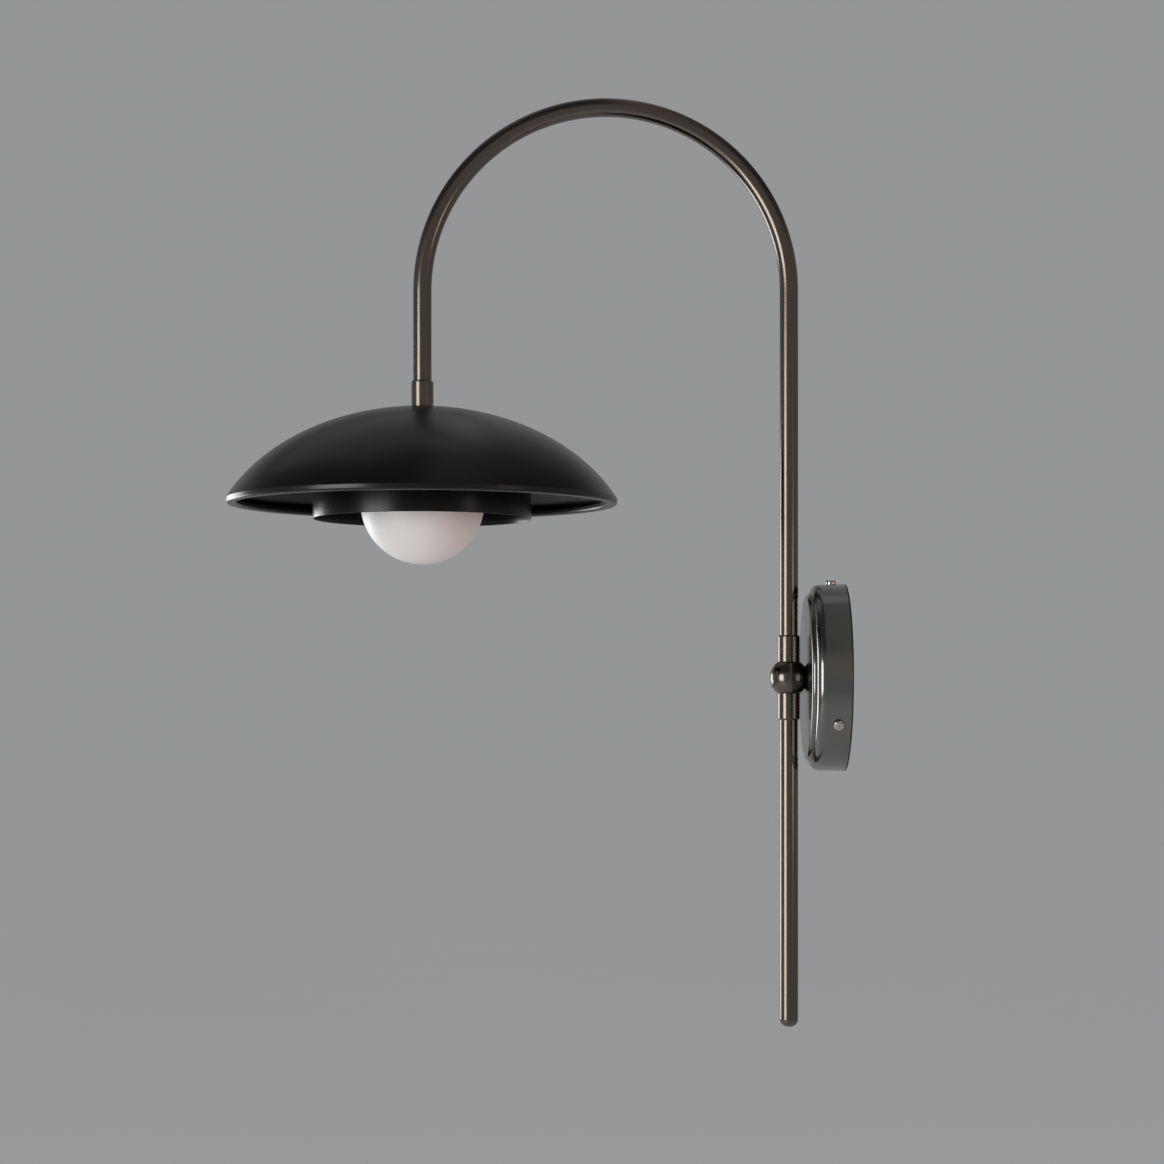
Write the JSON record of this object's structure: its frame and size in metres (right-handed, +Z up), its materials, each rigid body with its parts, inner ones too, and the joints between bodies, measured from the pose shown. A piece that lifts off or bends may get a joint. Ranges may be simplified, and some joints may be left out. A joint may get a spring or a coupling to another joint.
{
  "type": "wall light",
  "caption": "Wall light: an arched tube rises from a ball on a round rose and carries a wide shallow dome shade over an opal globe, with a straight tail tube below.",
  "frame": {"origin": "centre of the round rose's back, on the wall", "axes": "+X into the wall, -X out of it along the rose's axis and towards the shade, +Z up along the upright tubes"},
  "size_m": [0.399, 0.252, 0.6001],
  "materials": {
    "black_nickel": "polished black nickel plate on brass",
    "screw_nickel": "bright nickel plate, worn at the slot",
    "satin_black": "satin black enamel on spun aluminium",
    "zinc_steel": "zinc plated steel",
    "bare_brass": "turned brass",
    "opal_glass": "acid-etched opal glass, matt",
    "clear_glass": "clear glass capsule",
    "steatite": "unglazed steatite",
    "white_nylon": "moulded nylon",
    "black_rubber": "moulded rubber",
    "black_sheath": "extruded sheath",
    "brown_core": "extruded insulation",
    "blue_core": "extruded insulation",
    "earth_green": "extruded insulation"
  },
  "bodies": {
    "fitting": {"wall_bracket": "zinc_steel", "wall_gasket": "black_rubber", "cable_grommet": "black_rubber", "terminal_block": "white_nylon", "terminal_screws": "bare_brass", "block_screw": "zinc_steel", "earth_screw": "bare_brass", "rose": "black_nickel", "cover_screws": "screw_nickel", "stiffener": "zinc_steel", "lock_washer": "zinc_steel", "rose_locknut": "bare_brass", "rose_nipple": "zinc_steel", "ball_connector": "black_nickel", "upper_nipple": "zinc_steel", "upper_collar": "black_nickel", "arm_tube": "black_nickel", "lower_nipple": "zinc_steel", "lower_collar": "black_nickel", "tail_tube": "black_nickel", "tail_cap": "black_nickel", "shade_collar": "black_nickel", "shade_nipple": "zinc_steel", "shade": "satin_black", "shade_washer": "zinc_steel", "shade_locknut": "bare_brass", "spacer_sleeve": "bare_brass", "baffle": "satin_black", "glass_gallery": "satin_black", "holder_strap": "zinc_steel", "holder_locknut": "bare_brass", "lampholder": "steatite", "holder_screws": "zinc_steel", "sheathed_lead": "black_sheath", "line_core": "brown_core", "neutral_core": "blue_core", "earth_core": "earth_green", "holder_cores": "blue_core"},
    "globe": {"globe": "opal_glass"},
    "lamp": {"lamp_base": "steatite", "lamp_pins": "zinc_steel", "lamp_capsule": "clear_glass"}
  },
  "joints": [
    {"name": "globe_off", "type": "slide", "parent": "fitting", "child": "globe", "axis": [0, 0, -1], "range_m": [0, 0.15]},
    {"name": "lamp_out", "type": "slide", "parent": "fitting", "child": "lamp", "axis": [0, 0, -1], "range_m": [0, 0.06]}
  ],
  "couplings": [
    {"joint": "lamp_out", "follows": "globe_off", "ratio": 0.4}
  ]
}
